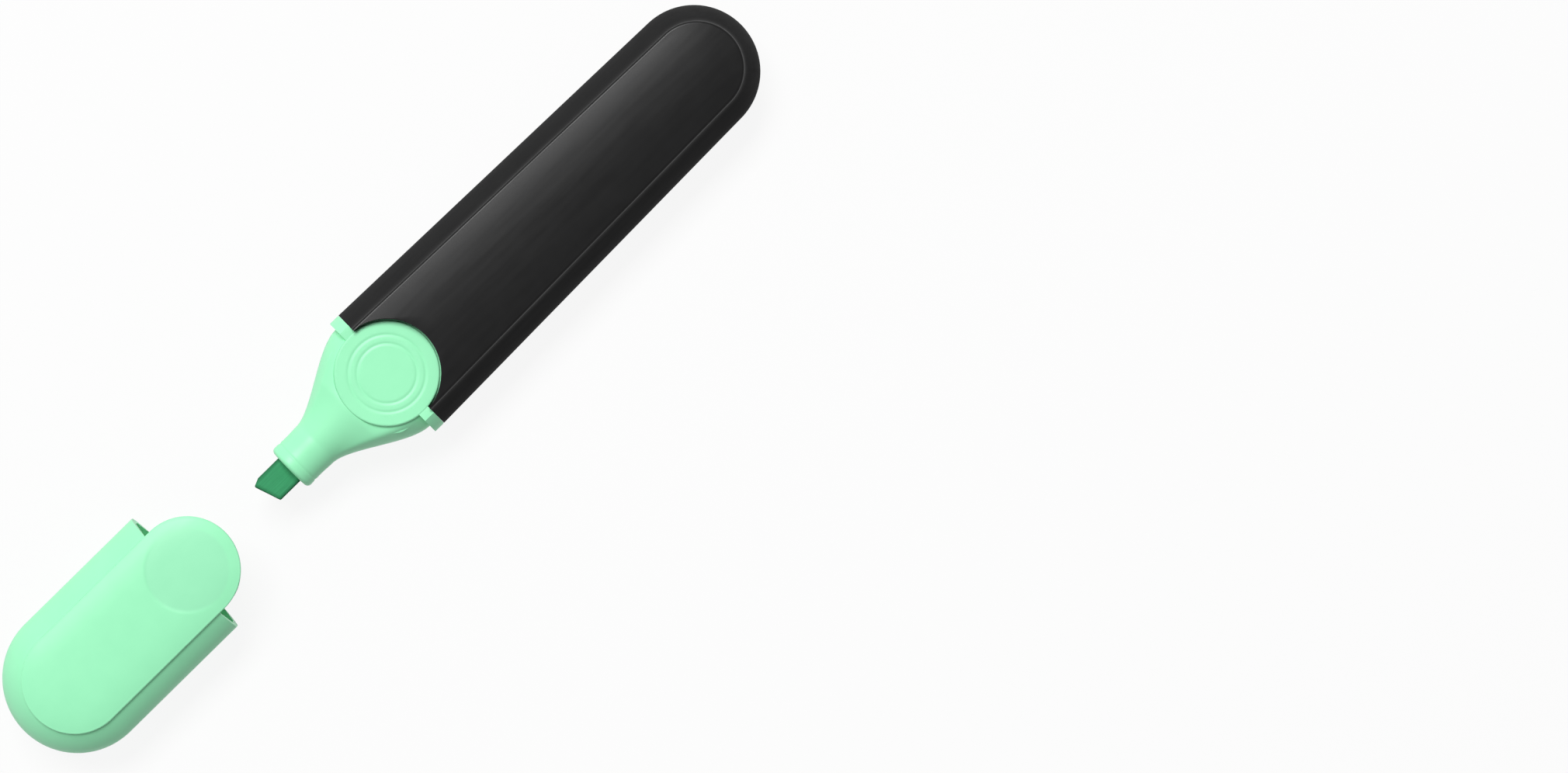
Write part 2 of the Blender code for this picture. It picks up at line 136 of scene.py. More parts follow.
def mesh_of(name, grids, fill_holes=False):
    """One welded mesh from grids, each (points, close_rows, close_columns), with its normals pointing out.

    Heights in the grids count from the pen's middle plane, and are lifted here to where that plane lies.
    """
    points = np.concatenate([grid.reshape(-1, 3) for grid, _, _ in grids]) + (0, 0, middle)
    starts = np.cumsum([0] + [grid.shape[0] * grid.shape[1] for grid, _, _ in grids])
    faces = np.concatenate([quads(*grid.shape[:2], rows, columns) + start
                            for (grid, rows, columns), start in zip(grids, starts)])
    mesh = bpy.data.meshes.new(name)
    mesh.from_pydata(points, [], faces)
    work = bmesh.new()
    work.from_mesh(mesh)
    bmesh.ops.remove_doubles(work, verts=work.verts, dist=WELD)
    bmesh.ops.dissolve_degenerate(work, edges=work.edges, dist=SLIVER)
    if fill_holes:
        hole_edges = [edge for edge in work.edges if edge.is_boundary]
        bmesh.ops.holes_fill(work, edges=hole_edges, sides=0)
    bmesh.ops.recalc_face_normals(work, faces=work.faces)
    open_edges = sum(edge.is_boundary for edge in work.edges)
    volume = work.calc_volume(signed=True) / MM ** 3
    work.to_mesh(mesh)
    work.free()
    mesh.shade_smooth()
    mesh.set_sharp_from_angle(angle=SHARP_ANGLE)
    print(f"{name}: {len(mesh.polygons)} faces, {open_edges} open edges, {volume:.0f} mm3")
    return mesh


print("points closer than", WELD / MM, "mm are welded")

# %% Pieces
def add_piece(name, mesh, body, node):
    """A finished piece that moves with a body and is shown in place of a node."""
    piece = bpy.data.objects.new(name, mesh)
    bpy.context.scene.collection.objects.link(piece)
    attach(piece, body)
    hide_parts(node)
    return piece


def points_of(mesh):
    """A mesh's points as an array."""
    flat = np.empty(len(mesh.vertices) * 3)
    mesh.vertices.foreach_get("co", flat)
    return flat.reshape(-1, 3)


def store(mesh, name, values):
    """Keeps one number for each point of a mesh, for its finish to read."""
    attribute = mesh.attributes.new(name, "FLOAT", "POINT")
    attribute.data.foreach_set("value", values.astype(np.float32))
    print(f"{name}: {values.min():.2f} to {values.max():.2f}, mean {values.mean():.2f}")


print("a piece can stand for:", sorted(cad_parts))

# %% [markdown]
# ## The section that barrel, collar and cap share
#
# Cut the pen across and you see a gently crowned panel above and below. The panel stands a fraction of a
# millimetre proud, with a round edge, and a bowed shoulder falls from it to a short upright side. The
# section is written as pairs of inset from the outer outline and height above the middle plane.

# %% Shared section
EDGE_TURN = np.radians(np.linspace(90, 8, 9))
STEP_DEPTH = 0.6 * MM
STEP_LEAN = 0.06 * MM
SIDE_HALF_HEIGHT = 1.6 * MM
BOW_HEIGHT = 4.3 * MM
BOW_INSET_SHARE = 0.17
SHOULDER_POINTS = 16
SIDE_POINTS = 4


def round_edge(radius, turn):
    """How far a round edge is drawn in and down at each turn: the radius times 1 - cos and 1 - sin."""
    return radius * (1 - np.cos(turn)), radius * (1 - np.sin(turn))


def upper_profile(panel_inset, edge_height, edge_radius):
    """(inset, height) from the panel's top to the middle of the side.

    The panel's edge is a quarter circle. The shoulder is a quadratic Bezier that leaves the foot of the step
    at a slope and arrives upright at the side.
    """
    drawn_in, drop = round_edge(edge_radius, EDGE_TURN)
    edge = np.stack([panel_inset + drawn_in, edge_height - drop], axis=-1)
    t = np.linspace(0, 1, SHOULDER_POINTS)[:, None]
    foot = np.array([panel_inset - STEP_LEAN, edge_height - STEP_DEPTH])
    bow = np.array([BOW_INSET_SHARE * panel_inset, BOW_HEIGHT])
    top_of_side = np.array([0.0, SIDE_HALF_HEIGHT])
    shoulder = (1 - t) ** 2 * foot + 2 * t * (1 - t) * bow + t ** 2 * top_of_side
    side = np.linspace(1, 0, SIDE_POINTS)[1:, None] * top_of_side
    return np.concatenate([edge, shoulder, side])


def whole_profile(panel_inset, edge_height, edge_radius):
    """The upper profile, and its mirror image below the middle plane."""
    upper = upper_profile(panel_inset, edge_height, edge_radius)
    return np.concatenate([upper, upper[-2::-1] * (1, -1)])


print("the upper half of a section has", len(EDGE_TURN) + SHOULDER_POINTS + SIDE_POINTS - 1, "points")

# %% Plan with a round end
STATION_CROWDING = 1.6


def round_ended(sigma, inset, flat_x, flat_half, centre_x, radius):
    """Plan point of a round-ended body, moved in by inset.

    Sigma runs 0 to 1 along the +Y side from the flat end, 1 to 2 round the far end and 2 to 3 back along the
    -Y side. The sides are the straight lines that touch the end circle.
    """
    way = np.sign(centre_x - flat_x)
    lean = np.arcsin((flat_half - radius) / abs(centre_x - flat_x))
    angle = (np.pi / 2 - lean) * (1 - 2 * np.clip(sigma - 1, 0, 1))
    end_x = centre_x + way * (radius - inset) * np.cos(angle)
    end_y = (radius - inset) * np.sin(angle)
    share = np.clip(np.minimum(sigma, 3 - sigma), 0, 1)
    x = flat_x + share * (end_x - flat_x)
    y = (1 - share) * np.sign(end_y) * (flat_half - inset / np.cos(lean)) + share * end_y
    return x, y


def path_stations(side_count, end_count):
    """Sigma values along a round-ended path: evenly spaced on the end, and on the sides a power of even
    steps, so that they crowd together near the flat end."""
    side = np.linspace(0, 1, side_count) ** STATION_CROWDING
    end = np.linspace(1, 2, end_count)[1:-1]
    return np.concatenate([side, end, (3 - side)[::-1]])


print("stations on a short path:", path_stations(3, 3).round(2))

# %% [markdown]
# ## The barrel
#
# The real barrel is one thin-walled moulding with a round notch in the front of each panel. Cutting the
# notch with a Boolean would leave ragged shading round it, so the panel is drawn as a fan instead: each
# point on the panel's rim is joined to a point on the notch, straight across beside the notch and slanting
# back behind it, and the height comes from the crown's formula. The shoulders are less polished than the
# panels, so each point stores whether it is satin.

# %% Barrel sizes
BARREL_PANEL_INSET = 3.3 * MM
BARREL_CROWN = 0.5 * MM
BARREL_EDGE = 0.55 * MM
BARREL_END_RADIUS = 11.4 * MM
BARREL_WALL = 1.15 * MM
BARREL_PANEL_WALL = 1.4 * MM
BARREL_INNER_INSET = 3.66 * MM
BARREL_SIDE_STATIONS = 46
BARREL_END_STATIONS = 60
BARREL_PANEL_POINTS = 28

barrel_end_centre = barrel_high.x - BARREL_END_RADIUS
barrel_plan = (barrel_low.x, barrel_high.y, barrel_end_centre, BARREL_END_RADIUS)
barrel_profile = whole_profile(BARREL_PANEL_INSET, half_thickness - BARREL_CROWN, BARREL_EDGE)
barrel_sigma = path_stations(BARREL_SIDE_STATIONS, BARREL_END_STATIONS)[:, None]
print("barrel:", len(barrel_sigma), "stations of", len(barrel_profile), "profile points")

# %% Crown of the panels
def barrel_reach(x):
    """Distance from the barrel's spine to the panel's edge, which shrinks in proportion along the taper."""
    share = np.clip((x - barrel_low.x) / (barrel_end_centre - barrel_low.x), 0, 1)
    half_width = barrel_high.y + share * (BARREL_END_RADIUS - barrel_high.y)
    return half_width - BARREL_PANEL_INSET - BARREL_EDGE


def crown_height(x, y):
    """Panel height: the top, less the crown times the square of distance from the spine over the reach."""
    past_spine = np.maximum(x - barrel_end_centre, 0)
    return half_thickness - BARREL_CROWN * (past_spine ** 2 + y ** 2) / barrel_reach(x) ** 2


print("panel's half width, mm:", (barrel_reach(np.array([barrel_low.x, barrel_high.x])) / MM).round(2))

# %% Notches in the panels
NOTCH_RADIUS = 9.22 * MM
NOTCH_CENTRE_X = 1.03 * MM
NOTCH_EDGE = 0.08 * MM
NOTCH_TURN = np.radians(np.linspace(90, 0, 5))
HORN_END_X = 8.2 * MM
SIGMA_MIDDLE = 1.5


def on_notch(angle, radius, height):
    """Points at an angle and a radius round the notch's centre."""
    return grid_of(NOTCH_CENTRE_X + radius * np.cos(angle), radius * np.sin(angle), height)


def notch_angle(sigma, rim_x):
    """Angle of the notch's point that each rim point is joined to.

    Beside the notch the two have the same x. Behind it the angle falls evenly with sigma, from where the
    horn beside the notch ends to the middle of the path.
    """
    beside = np.arccos((np.minimum(rim_x, HORN_END_X) - NOTCH_CENTRE_X) / (NOTCH_RADIUS + NOTCH_EDGE))
    one_side = slice(0, len(sigma) // 3)
    horn_end = np.interp(HORN_END_X, rim_x[one_side, 0], sigma[one_side, 0])
    return beside * np.clip((SIGMA_MIDDLE - sigma) / (SIGMA_MIDDLE - horn_end), -1, 1)


print("notch reaches back to", round((NOTCH_CENTRE_X + NOTCH_RADIUS) / MM, 2), "mm")

# %% Barrel shell
def barrel_mesh():
    """One closed loop of points at each station of a round-ended path, from the notch out over the panel,
    down the side and back inside. A panel point lies a share t of the way from the rim to the notch, at the
    crown's height, and the notch's edge is a quarter circle."""
    skin = grid_of(*round_ended(barrel_sigma, barrel_profile[:, 0], *barrel_plan), barrel_profile[:, 1])
    rim_x, rim_y = skin[:, :1, 0], skin[:, :1, 1]
    angle = notch_angle(barrel_sigma, rim_x)
    notch = on_notch(angle, NOTCH_RADIUS + NOTCH_EDGE, 0)
    t = np.linspace(1, 0, BARREL_PANEL_POINTS)[:-1]
    x = rim_x + t * (notch[..., 0] - rim_x)
    y = rim_y + t * (notch[..., 1] - rim_y)
    panel = grid_of(x, y, crown_height(x, y))
    drawn_in, drop = round_edge(NOTCH_EDGE, NOTCH_TURN)
    edge = on_notch(angle, NOTCH_RADIUS + drawn_in, panel[:, :1, 2] - drop)[:, :0:-1]
    under_height = half_thickness - BARREL_PANEL_WALL
    foot = on_notch(angle, NOTCH_RADIUS, under_height)
    inner_inset = np.array([BARREL_INNER_INSET, BARREL_WALL, BARREL_WALL])
    inner_height = np.array([under_height, SIDE_HALF_HEIGHT, 0])
    inner = grid_of(*round_ended(barrel_sigma, inner_inset, *barrel_plan), inner_height)

    down = np.array([1, 1, -1])
    upper = np.concatenate([foot, edge, panel], axis=1)
    loop = np.concatenate([upper, skin, (upper * down)[:, ::-1], inner * down, inner[:, -2::-1]], axis=1)
    return mesh_of("barrel_shell", [(loop, False, True)], fill_holes=True)


barrel_shell = add_piece("barrel_shell", barrel_mesh(), "pen", "barrel")
from_middle = abs(points_of(barrel_shell.data)[:, 2] - middle)
shoulder_top = half_thickness - BARREL_CROWN - BARREL_EDGE
store(barrel_shell.data, "satin", np.clip((shoulder_top - from_middle) / BARREL_EDGE, 0, 1))

# %% [markdown]
# ## The cap
#
# The cap's panel is a stadium shape: round at the closed end and round again where it runs on as a tongue
# past the mouth. Its height is one formula: a crown that steepens towards its edges, less a thumb rest that
# is deepest towards the closed end and runs out towards the tongue's tip. The underside is its mirror image
# with a slightly shorter tongue. The side walls are the shared profile carried round the closed end only,
# and the tongue's rim closes the rest. The wall's end faces at the mouth are the only holes left after
# welding, so they are simply filled.

# %% Cap sizes
TONGUE_RADIUS = 9.1 * MM
TONGUE_CENTRE = 1.2 * MM
LOWER_TONGUE_CENTRE = -0.1 * MM
CAP_WALL = 1.1 * MM
CAP_PANEL_WALL = 1.5 * MM
CAP_INNER_REACH = 8.9 * MM
RIM_FOOT = 0.16 * MM
CAP_CROWN = 0.7 * MM
CROWN_MIX = 0.35
CAP_EDGE = 0.26 * MM

cap_low, cap_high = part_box("cap_shell")
cap_half = cap_high.y
mouth_x = cap_high.x - TONGUE_RADIUS - TONGUE_CENTRE
tongue_x = mouth_x + TONGUE_CENTRE
cap_end_centre = cap_low.x + cap_half
cap_edge_height = half_thickness - CAP_CROWN
cap_under_height = half_thickness - CAP_PANEL_WALL
cap_profile = whole_profile(cap_half - TONGUE_RADIUS, cap_edge_height, CAP_EDGE)
print("cap's mouth at", round(mouth_x / MM, 2), "mm, closed end at", round(cap_low.x / MM, 2), "mm")

# %% Cap plan and its lower tongue
def stadium(sigma, reach):
    """Plan point at a distance reach from the cap's spine: sigma 0 to 3 as on a round-ended path from the
    tongue's centre, and 3 to 4 round the tongue from the -Y side back to the +Y side."""
    x, y = round_ended(np.minimum(sigma, 3), cap_half - reach, tongue_x, cap_half, cap_end_centre, cap_half)
    angle = np.pi * (np.clip(sigma - 3, 0, 1) - 0.5)
    on_tongue = sigma > 3
    x = np.where(on_tongue, tongue_x + reach * np.cos(angle), x)
    y = np.where(on_tongue, reach * np.sin(angle), y)
    return x, y


def lower_side(grid):
    """The mirror image of a grid below the middle plane, where the distance past the mouth is shortened by
    the ratio of the two tongues' lengths."""
    past_mouth = np.maximum(grid[..., 0] - mouth_x, 0)
    kept = (TONGUE_RADIUS + LOWER_TONGUE_CENTRE) / (TONGUE_RADIUS + TONGUE_CENTRE)
    return grid_of(grid[..., 0] - past_mouth * (1 - kept), grid[..., 1], -grid[..., 2])


print("lower tongue is", round((TONGUE_CENTRE - LOWER_TONGUE_CENTRE) / MM, 2), "mm shorter")

# %% Thumb rest
REST_RADIUS = 7.5 * MM
REST_DEPTH = 0.16 * MM
REST_WALL = 0.7 * MM


def in_rest(x, y):
    """1 inside the thumb rest and 0 outside, by the smooth step of the way in over the width of its wall."""
    share = np.clip((REST_RADIUS - np.hypot(x - tongue_x, y)) / REST_WALL, 0, 1)
    return share ** 2 * (3 - 2 * share)


print("thumb rest is", round(2 * REST_RADIUS / MM, 2), "mm across")

# %% Stations round the cap
MOUTH_STATIONS = 4
REST_STATIONS = 46
SIDE_STATIONS = 18
ROUND_STATIONS = 56

spine_length = tongue_x - cap_end_centre
mouth_share = TONGUE_CENTRE / spine_length
rest_share = (REST_RADIUS + REST_WALL) / spine_length
side_sigma = np.concatenate([np.linspace(0, mouth_share, MOUTH_STATIONS),
                             np.linspace(mouth_share, rest_share, REST_STATIONS)[1:],
                             np.linspace(rest_share, 1, SIDE_STATIONS)[1:]])
end_sigma = np.linspace(1, 2, ROUND_STATIONS)[1:-1]
tongue_sigma = np.linspace(3, 4, ROUND_STATIONS)[1:-1]
cap_sigma = np.concatenate([side_sigma, end_sigma, (3 - side_sigma)[::-1], tongue_sigma])[:, None]
first_wall = MOUTH_STATIONS - 1
last_wall = 2 * len(side_sigma) + len(end_sigma) - MOUTH_STATIONS
wall_sigma = cap_sigma[first_wall:last_wall + 1]
rim_sigma = np.concatenate([cap_sigma[last_wall:], cap_sigma[:MOUTH_STATIONS]])
print("cap:", len(wall_sigma), "stations on its walls and", len(rim_sigma), "on a tongue's rim")

# %% Cap panel, underside, rim and walls
CAP_PANEL_POINTS = 40
UNDER_POINTS = 6


def to_spine(reach, t):
    """Plan points a share t of the way in from a stadium to the cap's spine."""
    x, y = stadium(cap_sigma, reach)
    return x + t * (np.clip(x, cap_end_centre, tongue_x) - x), y * (1 - t)


def cap_panel():
    """Panel height: the top, less a crown that mixes the second and fourth powers of the share of the way
    out, less the thumb rest, whose depth grows with the distance back from the tongue's centre."""
    t = np.linspace(0, 1, CAP_PANEL_POINTS)
    x, y = to_spine(TONGUE_RADIUS - CAP_EDGE, t)
    crown = CAP_CROWN * (CROWN_MIX * (1 - t) ** 2 + (1 - CROWN_MIX) * (1 - t) ** 4)
    slope = np.clip((tongue_x - x) / REST_RADIUS, 0, 1)
    return grid_of(x, y, half_thickness - crown - REST_DEPTH * slope * in_rest(x, y))


def tongue_rim():
    """The tongue's edge: a quarter circle, an upright side and a small slope to the flat underside."""
    drawn_in, drop = round_edge(CAP_EDGE, EDGE_TURN)
    reach = np.concatenate([TONGUE_RADIUS - drawn_in, [TONGUE_RADIUS, CAP_INNER_REACH]])
    height = np.concatenate([cap_edge_height - drop, [cap_under_height + RIM_FOOT, cap_under_height]])
    return grid_of(*stadium(rim_sigma, reach), height)


def cap_wall(reach, height):
    """A profile of distance from the spine and height, carried round the closed end from side to side."""
    return grid_of(*stadium(wall_sigma, reach), height)


print("cap's panel falls", round(CAP_CROWN / MM, 2), "mm to its edge")

# %% Cap moulding
def cap_mesh():
    """Panel, underside and rim above, their mirror images below, and an outer and an inner wall."""
    under = grid_of(*to_spine(CAP_INNER_REACH, np.linspace(0, 1, UNDER_POINTS)), cap_under_height)
    upper = [(cap_panel(), True, False), (under, True, False), (tongue_rim(), False, False)]
    lower = [(lower_side(grid), rows, columns) for grid, rows, columns in upper]
    inner_reach = np.array([CAP_INNER_REACH, cap_half - CAP_WALL, cap_half - CAP_WALL, CAP_INNER_REACH])
    inner_height = np.array([cap_under_height, SIDE_HALF_HEIGHT, -SIDE_HALF_HEIGHT, -cap_under_height])
    outer = cap_wall(cap_half - cap_profile[:, 0], cap_profile[:, 1])
    walls = [(outer, False, False), (cap_wall(inner_reach, inner_height), False, False)]
    return mesh_of("cap_moulding", upper + lower + walls, fill_holes=True)


cap_moulding = add_piece("cap_moulding", cap_mesh(), "cap", "cap_shell")
cap_points = points_of(cap_moulding.data)
# Stores the thumb rest, which the mint plastic darkens there as painted shade.
store(cap_moulding.data, "thumb_rest", in_rest(cap_points[:, 0], cap_points[:, 1]))

# %% [markdown]
# ## The nose
#
# The front moulding starts as a round neck that holds the nib, swells into the flat section of the pen and
# ends as a plug inside the barrel. It could be lofted from curves, but one tube of rings is simpler: every
# ring is given by how far its wall lies from the axis at each angle, and the swell is a blend from the
# neck's circle to the plug's softened octagon.

# %% Sections of the nose
RING_POINTS = 180
NECK_RADIUS = 4.42 * MM
NOSE_HALF_WIDTH = 11.6 * MM
NOSE_HALF_HEIGHT = 5.8 * MM
NOSE_SLOPE_Y = 0.788
NOSE_SLOPE_Z = 0.616
NOSE_SLOPE_OFFSET = 10.6 * MM
NOSE_SOFTNESS = 22
SLOT_HALF_WIDTH = 2.91 * MM
SLOT_HALF_HEIGHT = 1.8 * MM

around = np.linspace(0, 2 * np.pi, RING_POINTS, endpoint=False)


def reach_of(flats):
    """Distance from the axis to a rounded polygon at every angle: the p-norm of how near each flat lies."""
    nearness = [abs(a * np.cos(around) + b * np.sin(around)) / offset for a, b, offset in flats]
    return np.sum(np.power(nearness, NOSE_SOFTNESS), axis=0) ** (-1 / NOSE_SOFTNESS)


octagon = reach_of([(1, 0, NOSE_HALF_WIDTH), (0, 1, NOSE_HALF_HEIGHT),
                    (NOSE_SLOPE_Y, NOSE_SLOPE_Z, NOSE_SLOPE_OFFSET),
                    (NOSE_SLOPE_Y, -NOSE_SLOPE_Z, NOSE_SLOPE_OFFSET)])
slot = reach_of([(1, 0, SLOT_HALF_WIDTH), (0, 1, SLOT_HALF_HEIGHT)])
circle = np.full(RING_POINTS, NECK_RADIUS)
print("octagon's nearest and farthest point, mm:", (np.array([octagon.min(), octagon.max()]) / MM).round(2))

# %% Neck
NECK_FRONT = -22.4 * MM
NECK_BACK = -16.5 * MM
NECK_FILLET = 0.75 * MM
NECK_TURN = np.radians(np.linspace(90, 0, 10))
NECK_RINGS = 60
NECK_WAIST = 0.08 * MM
GROOVE_X = -20.5 * MM
GROOVE_WIDTH = 0.22 * MM
GROOVE_DEPTH = 0.09 * MM


def neck_rings():
    """Places and reaches of the neck's rings: a rim that is a quarter circle, then a circle less a shallow
    waist, the square of a sine, and less one groove, a bell curve of x."""
    drawn_in, set_back = round_edge(NECK_FILLET, NECK_TURN)
    rim_x = NECK_FRONT + set_back
    along = np.linspace(0, 1, NECK_RINGS)[1:-1]
    neck_x = rim_x[-1] + along * (NECK_BACK - rim_x[-1])
    groove = GROOVE_DEPTH * np.exp(-((neck_x - GROOVE_X) / GROOVE_WIDTH) ** 2)
    less = np.concatenate([drawn_in, NECK_WAIST * np.sin(np.pi * along) ** 2 + groove])
    return np.concatenate([rim_x, neck_x]), circle - less[:, None]


print("neck is", round(2 * NECK_RADIUS / MM, 2), "mm across")

# %% Swell
SWELL_LEAVES = -12.5 * MM
SWELL_ARRIVES = -4.6 * MM
SWELL_RINGS = 50
CREASE_PLACE = -15.8 * MM
CREST_PLACE = -8.0 * MM
CREST_HEIGHT = 6.0 * MM


def swell_rings():
    """Places, reaches and upward stretches of the swell's rings.

    The place is a cubic Bezier of t, and the ring goes from the circle to the octagon by the smooth step of
    t. The stretch makes the crest climb in a straight line to the disc, which leaves a crease behind the
    neck.
    """
    t = np.linspace(0, 1, SWELL_RINGS)
    leaves, arrives = 3 * t * (1 - t) ** 2, 3 * t ** 2 * (1 - t)
    x = (1 - t) ** 3 * NECK_BACK + leaves * SWELL_LEAVES + arrives * SWELL_ARRIVES
    reach = circle + (arrives + t ** 3)[:, None] * (octagon - circle)
    top = RING_POINTS // 4
    crest = np.interp(x, [CREASE_PLACE, CREST_PLACE, 0], [NECK_RADIUS, CREST_HEIGHT, octagon[top]])
    return x, reach, crest / reach[:, top]


print("crest is stretched by up to", round(swell_rings()[2].max(), 3))

# %% Nose body
PLUG_SHARE = 0.978
PLUG_END_SHARE = 0.953
PLUG_FRONT = 0.25 * MM
PLUG_BACK = 13.1 * MM
PLUG_CHAMFER = 0.3 * MM
NOSE_WALL = 1.3 * MM
HOLLOW_FRONT = 1.0 * MM
SLOT_BACK = -11.0 * MM


def nose_mesh():
    """One tube of rings, out along the neck, the swell and the plug, and back along the hollow and the nib's
    slot. The plug is the octagon times a share, and the hollow is the plug less the wall."""
    neck_x, neck = neck_rings()
    swell_x, swell, stretch = swell_rings()
    plug_x = [PLUG_FRONT, PLUG_BACK - PLUG_CHAMFER, PLUG_BACK]
    plug = octagon * np.array([PLUG_SHARE, PLUG_SHARE, PLUG_END_SHARE])[:, None]
    hollow = octagon * PLUG_SHARE - NOSE_WALL
    inside_x = [PLUG_BACK, HOLLOW_FRONT, SLOT_BACK, NECK_FRONT]
    inside = [hollow, hollow, slot, slot]
    x = np.concatenate([neck_x, swell_x, plug_x, inside_x])[:, None]
    reach = np.concatenate([neck, swell, plug, inside])
    upward = np.ones_like(x)
    upward[len(neck):len(neck) + len(swell), 0] = stretch
    rings = grid_of(x, reach * np.cos(around), upward * reach * np.sin(around))
    return mesh_of("nose_body", [(rings, True, True)])


nose_body = add_piece("nose_body", nose_mesh(), "pen", "nose_section")

# %% [markdown]
# ## Collar tabs and thumb discs
#
# Where the nose meets the barrel two short tabs carry on the barrel's side profile in the nose's colour, and
# a round disc fills the notch in each panel. A disc is a turned shape: a profile of radius and height spun
# about an upright axis. Towards the nib its wall flares out into the nose; plain rings are pressed into its
# face.

# %% Collar tabs
COLLAR_SEAM = 0.04 * MM
COLLAR_ROUND = 0.12 * MM
COLLAR_TOP = 6.2 * MM
COLLAR_ROOT = 6.12 * MM
COLLAR_REACH = 8.75 * MM


def collar_mesh():
    """The barrel's shoulder and side, a profile of inset and height, carried a short way along the pen.

    Its height is held to the level of the thumb disc, so the tab's flat top runs on into the disc, and its
    two ends are drawn in by a small round.
    """
    profile = barrel_profile[len(EDGE_TURN):-len(EDGE_TURN)]
    length = barrel_low.x - COLLAR_SEAM
    third = COLLAR_ROUND / 3
    x = np.array([0, third, COLLAR_ROUND, length - COLLAR_ROUND, length])[:, None]
    drawn_in = np.array([COLLAR_ROUND, third, 0, 0, COLLAR_ROUND])[:, None]
    outer_y = barrel_high.y - np.maximum(profile[:, 0], drawn_in)
    outer = grid_of(x, outer_y, np.clip(profile[:, 1], -COLLAR_TOP, COLLAR_TOP))
    inner = grid_of(x, COLLAR_REACH, np.array([-COLLAR_ROOT, COLLAR_ROOT]))
    tab = np.concatenate([outer, inner], axis=1)
    return mesh_of("collar_tabs", [(tab, False, True), (tab * (1, -1, 1), False, True)], fill_holes=True)


collar_tabs = add_piece("collar_tabs", collar_mesh(), "pen", "nose_section")

# %% Thumb discs
DISC_POINTS = 160
DISC_FACE_POINTS = 90
DISC_WALL_POINTS = 14
DISC_RADIUS = 9.0 * MM
DISC_HEIGHT = 6.2 * MM
DISC_EDGE = 0.3 * MM
DISC_TURN = np.radians(np.linspace(90, 20, 7))
DISC_FOOT = 4.4 * MM
FILLET_FOOT = 4.65 * MM
FILLET_REACH = 1.3 * MM
FILLET_POWER = 2.5
RING_RADII = (6.6 * MM, 5.1 * MM)
RING_WIDTH = 0.26 * MM
RING_DEPTH = 0.11 * MM


def disc_mesh():
    """A turned shape: a profile of radius and height, spun about an upright axis.

    The face is flat, less two grooves that are bell curves of the radius, and its edge is a quarter circle.
    Towards the nib the wall's radius grows with a power of its depth, so it starts upright and runs out into
    the nose.
    """
    spin = np.linspace(0, 2 * np.pi, DISC_POINTS, endpoint=False)[:, None]
    face = np.linspace(0, DISC_RADIUS - DISC_EDGE, DISC_FACE_POINTS)
    groove = sum(np.exp(-((face - radius) / RING_WIDTH) ** 2) for radius in RING_RADII)
    drawn_in, drop = round_edge(DISC_EDGE, DISC_TURN)
    edge_top = DISC_HEIGHT - drop
    depth = np.linspace(0, 1, DISC_WALL_POINTS)[1:]
    wall_top = edge_top[-1] - depth * (edge_top[-1] - FILLET_FOOT)
    radius = np.concatenate([face, DISC_RADIUS - drawn_in, np.full(len(depth) + 1, DISC_RADIUS), [0]])
    height = np.concatenate([DISC_HEIGHT - RING_DEPTH * groove, edge_top, wall_top, [DISC_FOOT, DISC_FOOT]])
    fillet = np.concatenate([np.zeros(len(face) + len(drop)), depth ** FILLET_POWER, [1, 0]])
    reach = radius + FILLET_REACH * fillet * np.clip(-2 * np.cos(spin), 0, 1)
    disc = grid_of(NOTCH_CENTRE_X + reach * np.cos(spin), reach * np.sin(spin), height)
    return mesh_of("thumb_discs", [(disc, True, False), (disc * (1, 1, -1), True, False)])


thumb_discs = add_piece("thumb_discs", disc_mesh(), "pen", "nose_section")

# %% [markdown]
# ## The nib
#
# The nib is a flat stick of bonded fibres, cut at a slant so that it draws a broad or a narrow line. It is a
# rounded rectangle carried along the pen, with every ring sheared to the slant near the tip and its long
# corner cut back a little. Each point also stores how near an edge it lies, for painted shade that darkens
# the nib along its sides and its slanted end.

# %% Slanted tip
NIB_HALF_WIDTH = 2.71 * MM
NIB_TIP = -28.95 * MM
NIB_SLANT = 1.7 * MM
NIB_CORNER_RUN = 1.45 * MM
NIB_CORNER = 0.57 * MM


def nib_tip(y):
    """Where the nib ends at each y: a straight slant over its width, with the corner on the +Y side cut back
    along a second straight line."""
    slant = NIB_SLANT * (NIB_HALF_WIDTH - y) / (2 * NIB_HALF_WIDTH)
    corner = NIB_CORNER_RUN * np.clip((y - NIB_HALF_WIDTH + NIB_CORNER) / NIB_CORNER, 0, 1)
    return NIB_TIP + slant + corner


edge_ends = np.array([-NIB_HALF_WIDTH, NIB_HALF_WIDTH - NIB_CORNER])
edge_length = np.hypot(np.ptp(edge_ends), np.ptp(nib_tip(edge_ends)))
print("writing edge is", round(edge_length / MM, 1), "mm long")

# %% Nib
NIB_HALF_HEIGHT = 1.6 * MM
NIB_SOFTNESS = 9
NIB_BACK = 22 * MM
NIB_ROUND = 0.25 * MM
NIB_TURN = np.radians(np.linspace(90, 0, 7))[:, None]
NIB_POINTS = 120
NIB_RINGS = 40
NIB_CROWDING = 1.5
NIB_FACE_ROWS = 8
# Width of the painted shade along the nib's sides and slanted end.
EDGE_SHADE_WIDTH = 0.75 * MM


